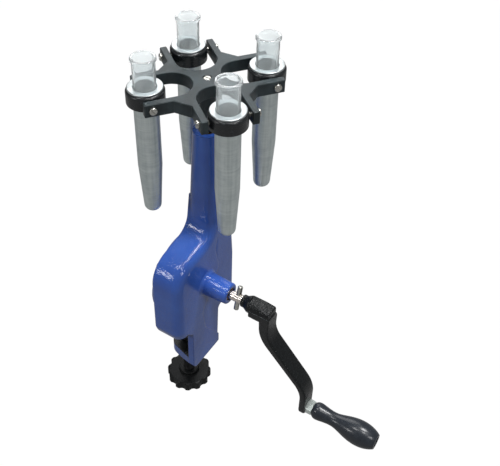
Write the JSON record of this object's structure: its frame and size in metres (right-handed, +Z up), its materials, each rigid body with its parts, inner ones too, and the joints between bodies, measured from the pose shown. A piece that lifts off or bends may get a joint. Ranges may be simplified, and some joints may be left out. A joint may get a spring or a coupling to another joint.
{
  "type": "hand crank centrifuge",
  "caption": "Bench clamp centrifuge: a side crank turns a worm drive and an upright spindle whose arms carry swinging buckets with conical glass tubes.",
  "frame": {"origin": "on the flat underside of the casting, the clamp's upper jaw, directly below the spindle axis", "axes": "+Z up along the spindle, +X along the crank shaft towards the handle, -X towards the bench"},
  "size_m": [0.2371, 0.1176, 0.353],
  "materials": {
    "blue_enamel": "glossy blue enamel with a fine orange-peel",
    "plated_steel": "bright plated steel",
    "bright_steel": "ground bright steel",
    "bronze": "oiled gear bronze",
    "black_anodised": "satin black anodised aluminium",
    "turned_aluminium": "satin turned aluminium",
    "black_rubber": "matt moulded rubber",
    "tube_glass": "clear glass",
    "black_paint": "black paint on a cast surface",
    "black_steel": "blackened steel",
    "black_gloss_plastic": "glossy black moulded plastic",
    "black_plastic": "satin black moulded plastic"
  },
  "bodies": {
    "frame": {"body_casting": "blue_enamel", "gear_cover": "blue_enamel", "cover_screws": "plated_steel", "top_bush": "bronze", "foot_bush": "bronze", "thrust_ball": "bright_steel", "boss_bush": "bronze", "cover_bush": "bronze"},
    "rotor": {"spindle": "bright_steel", "worm": "bright_steel", "rotor_head": "black_anodised", "rotor_screw": "plated_steel", "pivot_screws": "plated_steel"},
    "crank": {"crank_shaft": "bright_steel", "worm_wheel": "bronze", "wheel_pin": "bright_steel", "cross_pin": "plated_steel", "crank_arm": "black_paint", "crank_grub_screw": "black_steel", "handle_bolt": "plated_steel", "hex_nut": "plated_steel"},
    "grip": {"handle_grip": "black_gloss_plastic"},
    "pad": {"pressure_pad": "black_steel"},
    "clamp": {"clamp_screw": "black_steel", "clamp_knob": "black_plastic"},
    "holder_1": {"trunnion_ring_1": "black_anodised", "bucket_1": "turned_aluminium", "cushion_1": "black_rubber"},
    "tube_1": {"glass_tube_1": "tube_glass"},
    "holder_2": {"trunnion_ring_2": "black_anodised", "bucket_2": "turned_aluminium", "cushion_2": "black_rubber"},
    "tube_2": {"glass_tube_2": "tube_glass"},
    "holder_3": {"trunnion_ring_3": "black_anodised", "bucket_3": "turned_aluminium", "cushion_3": "black_rubber"},
    "tube_3": {"glass_tube_3": "tube_glass"},
    "holder_4": {"trunnion_ring_4": "black_anodised", "bucket_4": "turned_aluminium", "cushion_4": "black_rubber"},
    "tube_4": {"glass_tube_4": "tube_glass"}
  },
  "joints": [
    {"name": "rotor_spin", "type": "hinge", "parent": "frame", "child": "rotor", "pos_m": [0, 0, 0.2], "axis": [0, 0, 1], "continuous": true},
    {"name": "crank_spin", "type": "hinge", "parent": "frame", "child": "crank", "pos_m": [0.03, -0.023, 0.046], "axis": [1, 0, 0], "continuous": true},
    {"name": "grip_spin", "type": "hinge", "parent": "crank", "child": "grip", "pos_m": [0.15, -0.023, -0.048], "axis": [1, 0, 0], "continuous": true},
    {"name": "clamp_travel", "type": "slide", "parent": "frame", "child": "pad", "axis": [0, 0, 1], "range_m": [0, 0.02805]},
    {"name": "clamp_turn", "type": "hinge", "parent": "pad", "child": "clamp", "pos_m": [-0.0075, -0.0245, -0.06], "axis": [0, 0, 1], "range_deg": [0, 6720]},
    {"name": "bucket_swing_1", "type": "hinge", "parent": "rotor", "child": "holder_1", "pos_m": [0.02832, 0.03625, 0.227], "axis": [-0.788, 0.6157, 0], "range_deg": [-90, 10]},
    {"name": "tube_lift_1", "type": "slide", "parent": "holder_1", "child": "tube_1", "axis": [0, 0, 1], "range_m": [0, 0.1]},
    {"name": "bucket_swing_2", "type": "hinge", "parent": "rotor", "child": "holder_2", "pos_m": [-0.03625, 0.02832, 0.227], "axis": [-0.6157, -0.788, 0], "range_deg": [-90, 10]},
    {"name": "tube_lift_2", "type": "slide", "parent": "holder_2", "child": "tube_2", "axis": [0, 0, 1], "range_m": [0, 0.1]},
    {"name": "bucket_swing_3", "type": "hinge", "parent": "rotor", "child": "holder_3", "pos_m": [-0.02832, -0.03625, 0.227], "axis": [0.788, -0.6157, 0], "range_deg": [-90, 10]},
    {"name": "tube_lift_3", "type": "slide", "parent": "holder_3", "child": "tube_3", "axis": [0, 0, 1], "range_m": [0, 0.1]},
    {"name": "bucket_swing_4", "type": "hinge", "parent": "rotor", "child": "holder_4", "pos_m": [0.03625, -0.02832, 0.227], "axis": [0.6157, 0.788, 0], "range_deg": [-90, 10]},
    {"name": "tube_lift_4", "type": "slide", "parent": "holder_4", "child": "tube_4", "axis": [0, 0, 1], "range_m": [0, 0.1]}
  ],
  "couplings": [
    {"joint": "crank_spin", "follows": "rotor_spin", "ratio": -0.125},
    {"joint": "clamp_travel", "follows": "clamp_turn", "m_per_rad": 0.00023873}
  ]
}
